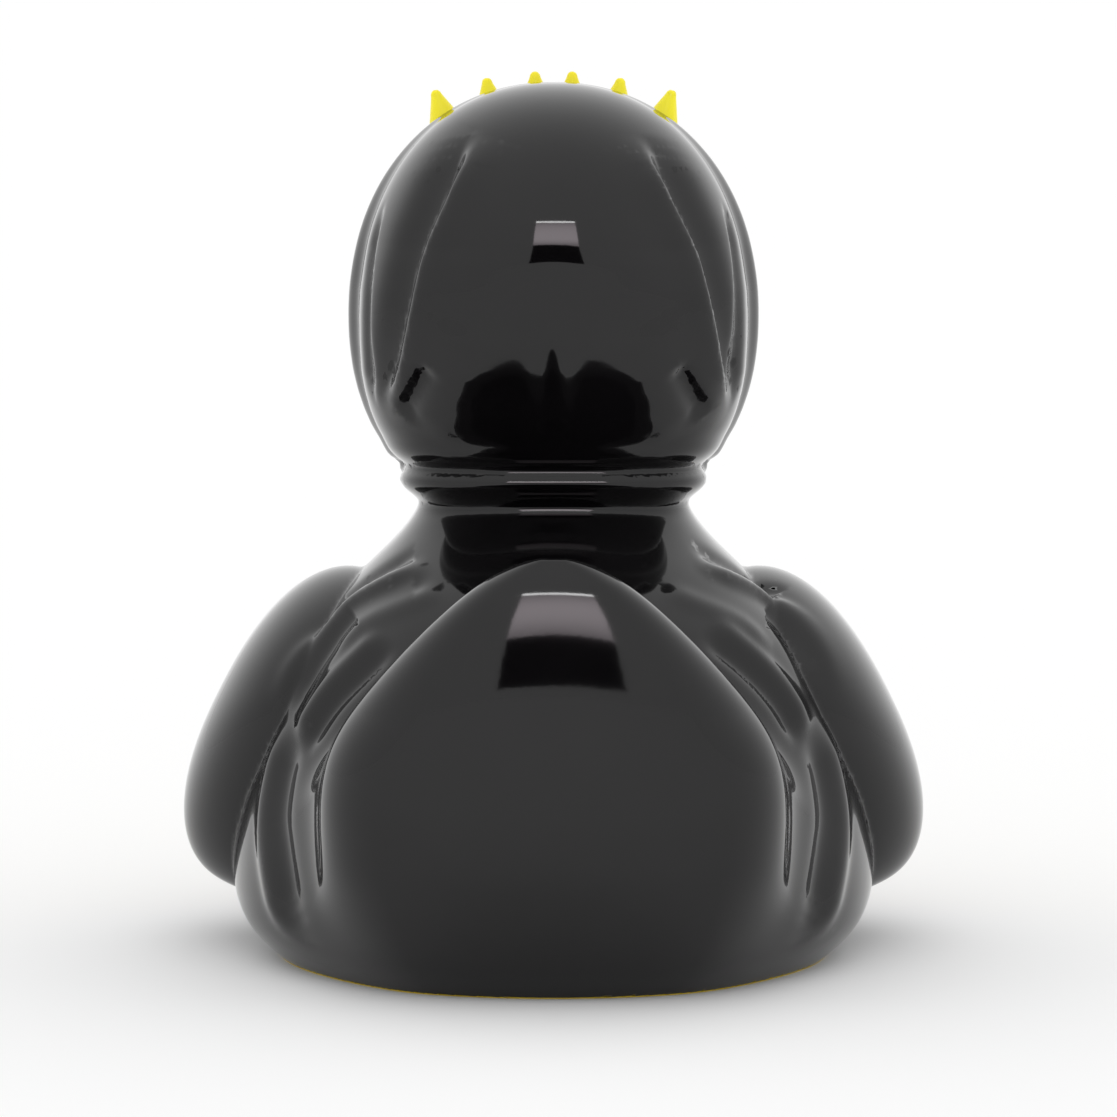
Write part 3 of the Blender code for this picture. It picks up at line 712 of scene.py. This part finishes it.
def face(x, y, z):
    return np.maximum(egg(x, y, z) + FACE_SINK, y - FACE_PLANE - FACE_OVERLAP)


def yellow_satin():
    """Sprayed satin paint over vinyl, with a very fine grain."""
    made, tree, shader = finish_nodes("yellow_satin", (1.0, 0.84, 0.0), 0.35)
    mottled(tree, shader, 120.0, (0.98, 0.84, 0.0), (1.0, 0.90, 0.002))
    grained(tree, shader, 1400.0, 0.000006, 0.3, 0.42)
    return made


yellow = yellow_satin()
face_low = (-20.0, -27.0, 38.0)
face_high = (20.0, -10.0, 88.0)
face_piece = moulded("yellow_face", face, at_points(face), face_low, face_high, 0.6)
declared(face_piece, yellow)

# Bill
# Two rounded lips moulded on the face, the upper longer than the lower, with the mouth's line
# between them. They are vinyl too, sprayed with satin orange paint through a mask.
BILL_Z = 57.5
BILL_Y = -21.5
BILL_UPPER = (8.4, 14.0, 3.3)
BILL_LOWER = (6.8, 11.6, 2.4)
BILL_LOWER_DROP = 3.0
BILL_FILLET = 0.5
BILL_TURN_UP = 0.012  # rise for each millimetre squared ahead of the root


def lip(x, y, z, half):
    rise = BILL_TURN_UP * np.maximum(BILL_Y - y, 0.0) ** 2
    from_middle = np.sqrt(x * x + (y - BILL_Y) ** 2 + (z - rise) ** 2)
    powers = np.abs(x / half[0]) ** 2.2 + np.abs((y - BILL_Y) / half[1]) ** 2.2
    fullness = (powers + np.abs((z - rise) / half[2]) ** 2.2) ** (1 / 2.2)
    return from_middle * (1 - 1 / np.maximum(fullness, 0.02))


def bill(x, y, z):
    upper = lip(x, y, z - BILL_Z, BILL_UPPER)
    lower = lip(x, y, z - BILL_Z + BILL_LOWER_DROP, BILL_LOWER)
    return joined(upper, lower, BILL_FILLET)


def orange_satin():
    made, tree, shader = finish_nodes("orange_satin", (0.9, 0.2, 0.01), 0.32)
    mottled(tree, shader, 110.0, (0.82, 0.17, 0.007), (0.94, 0.24, 0.013))
    grained(tree, shader, 1400.0, 0.000006, 0.26, 0.38)
    return made


bill_low = (-10.0, -37.0, 50.0)
bill_high = (10.0, -6.0, 65.0)
bill_piece = moulded("orange_bill", bill, at_points(bill), bill_low, bill_high, 0.45)
declared(bill_piece, orange_satin())

# Eyes
# Two plain ovals of gloss black paint, printed on the yellow paint with a soft pad. They are
# thick enough to stand a little proud of the face.
EYE_X = 6.6
EYE_Z = 68.0
EYE_HALF_WIDTH = 2.3
EYE_HALF_HEIGHT = 3.1
EYE_PROUD = 0.25


def eyes(x, y, z):
    oval = np.sqrt(((np.abs(x) - EYE_X) / EYE_HALF_WIDTH) ** 2 + ((z - EYE_Z) / EYE_HALF_HEIGHT) ** 2)
    edge_drop = 0.9 * np.maximum(oval - 0.55, 0.0) ** 2
    paint = egg(x, y, z) + FACE_SINK - EYE_PROUD + edge_drop
    sides = (oval - 1) * EYE_HALF_WIDTH
    return np.maximum(np.maximum(paint, sides), np.maximum(y + 16.0, -egg(x, y, z) - 1.4))


def eye_gloss():
    made, tree, shader = finish_nodes("eye_gloss", (0.004, 0.004, 0.004), 0.08)
    mottled(tree, shader, 200.0, (0.003, 0.003, 0.003), (0.006, 0.006, 0.006))
    grained(tree, shader, 900.0, 0.000002, 0.05, 0.1)
    return made


eyes_low = (-10.0, -27.0, 63.0)
eyes_high = (10.0, -19.0, 73.0)
eyes_piece = moulded("painted_eyes", eyes, at_points(eyes), eyes_low, eyes_high, 0.3)
declared(eyes_piece, eye_gloss())

# Crown
# A band across the brow with six blunt points that fan out, moulded on and painted yellow. Only
# the points' tips show over the hood from behind.
CROWN_Y = -17.5
CROWN_TIPS = ((1.9, 87.65, 2.5), (6.8, 87.0, 10.0), (12.0, 85.8, 19.0))  # x, z, lean in degrees
CROWN_POINT_LENGTH = 7.5
CROWN_POINT_FOOT = 3.6
CROWN_TIP_RADIUS = 0.55
CROWN_FILLET = 1.4
CROWN_BAND_HALF = 1.7
CROWN_BAND_PROUD = 0.4
CROWN_BAND_FROM_Z = 76.5


def crown(x, y, z):
    head = egg(x, y, z)
    across = np.abs(y - CROWN_Y) - CROWN_BAND_HALF
    outside = np.maximum(head - CROWN_BAND_PROUD, across)
    solid = np.maximum(np.maximum(outside, -head - 1.5), CROWN_BAND_FROM_Z - z)
    for tip_x, tip_z, lean in CROWN_TIPS:
        leaning = radians(lean)
        side = np.abs(x) - tip_x
        down = tip_z - CROWN_TIP_RADIUS - z
        along = down * cos(leaning) - side * sin(leaning)
        from_axis = np.hypot(down * sin(leaning) + side * cos(leaning), y - CROWN_Y)
        share = np.clip(along / CROWN_POINT_LENGTH, 0.0, 1.0)
        radius = CROWN_TIP_RADIUS + (CROWN_POINT_FOOT - CROWN_TIP_RADIUS) * share
        gap = along - CROWN_POINT_LENGTH * share
        point = np.hypot(from_axis, gap) - radius
        solid = joined(solid, point, CROWN_FILLET)
    return solid


crown_low = (-17.0, -22.5, 72.5)
crown_high = (17.0, -12.5, 88.6)
crown_piece = moulded("yellow_crown", crown, at_points(crown), crown_low, crown_high, 0.35)
declared(crown_piece, yellow)

# Studio
# A white light tent: a pale floor, even light from all round that is a little stronger from
# above, and behind the lens its dark opening with a lit card and a bright edge over it.
FLOOR_HALF = 40.0  # metres
TENT_ABOVE = 1.10
TENT_LEVEL = 0.97
CARD_DISTANCE = 1.0
CARD_MIDDLE = -1.5  # degrees round from straight behind, towards the duck's right
CARD_HALF = 11.7
OPENING_FROM, OPENING_TO = 1.4, 10.7  # degrees up
CARD_TO = 30.5
EDGE_TO = 32.0
CARD_COLOUR = (1.0, 0.90, 0.95, 1.0)


def floor_paper():
    made, tree, shader = finish_nodes("floor_paper", (0.95, 0.95, 0.95), 1.0)
    shader.inputs["Specular IOR Level"].default_value = 0.0
    return made


floor_mesh = bpy.data.meshes.new("floor")
floor_shape = bmesh.new()
bmesh.ops.create_grid(floor_shape, x_segments=1, y_segments=1, size=FLOOR_HALF)
floor_shape.to_mesh(floor_mesh)
floor_shape.free()
floor_mesh.materials.append(floor_paper())
floor = bpy.data.objects.new("floor", floor_mesh)
bpy.context.scene.collection.objects.link(floor)


def glow(name, colour, low, middle, high):
    """A lit surface whose strength goes from low at its foot, through the middle, to its top."""
    made = bpy.data.materials.new(name)
    made.use_nodes = True
    tree = made.node_tree
    tree.nodes.clear()
    output = tree.nodes.new("ShaderNodeOutputMaterial")
    lit = tree.nodes.new("ShaderNodeEmission")
    lit.inputs["Color"].default_value = colour
    place = tree.nodes.new("ShaderNodeTexCoord")
    height = tree.nodes.new("ShaderNodeSeparateXYZ")
    curve = tree.nodes.new("ShaderNodeFloatCurve")
    points = curve.mapping.curves[0].points
    most = max(low, middle, high, 1e-6)
    points[0].location = (0.0, low / most)
    points[1].location = (1.0, high / most)
    points.new(0.5, middle / most)
    curve.mapping.update()
    strength = tree.nodes.new("ShaderNodeMath")
    strength.operation = "MULTIPLY"
    strength.inputs[1].default_value = most
    tree.links.new(place.outputs["Generated"], height.inputs["Vector"])
    tree.links.new(height.outputs["Z"], curve.inputs["Value"])
    tree.links.new(curve.outputs["Value"], strength.inputs[0])
    tree.links.new(strength.outputs["Value"], lit.inputs["Strength"])
    tree.links.new(lit.outputs["Emission"], output.inputs["Surface"])
    return made


def tent_part(name, low, high, finish):
    """A strip of the tent's wall round the lens, seen only in the duck's gloss."""
    shape = bmesh.new()
    rows = []
    for up in np.linspace(radians(low), radians(high), 9):
        row = []
        for turn in np.radians(np.linspace(CARD_MIDDLE - CARD_HALF, CARD_MIDDLE + CARD_HALF, 13)):
            level = CARD_DISTANCE * cos(up)
            spot = (level * sin(turn), level * cos(turn), AIM.z + CARD_DISTANCE * sin(up))
            row.append(shape.verts.new(spot))
        rows.append(row)
    for first, second in zip(rows, rows[1:]):
        for k in range(len(first) - 1):
            shape.faces.new((first[k], first[k + 1], second[k + 1], second[k]))
    mesh = bpy.data.meshes.new(name)
    shape.to_mesh(mesh)
    shape.free()
    mesh.materials.append(finish)
    part = bpy.data.objects.new(name, mesh)
    bpy.context.scene.collection.objects.link(part)
    part.visible_camera = False
    part.visible_diffuse = False
    part.visible_shadow = False


tent_part("opening", OPENING_FROM, OPENING_TO, glow("unlit", (0, 0, 0, 1), 0.0, 0.0, 0.0))
tent_part("card", OPENING_TO, CARD_TO, glow("card_white", CARD_COLOUR, 2.6, 5.2, 2.8))
tent_part("card_edge", CARD_TO, EDGE_TO, glow("edge_white", (1, 1, 1, 1), 14.0, 16.0, 14.0))

world = bpy.data.worlds.new("tent")
bpy.context.scene.world = world
world.use_nodes = True
nodes, links = world.node_tree.nodes, world.node_tree.links
light = nodes["Background"]
light.inputs["Color"].default_value = (1.0, 1.0, 1.0, 1.0)
direction = nodes.new("ShaderNodeTexCoord")
height = nodes.new("ShaderNodeSeparateXYZ")
by_height = nodes.new("ShaderNodeMapRange")
by_height.inputs["To Min"].default_value = TENT_LEVEL
by_height.inputs["To Max"].default_value = TENT_ABOVE
links.new(direction.outputs["Generated"], height.inputs["Vector"])
links.new(height.outputs["Z"], by_height.inputs["Value"])
links.new(by_height.outputs["Result"], light.inputs["Strength"])

bpy.context.scene.view_settings.view_transform = "Standard"
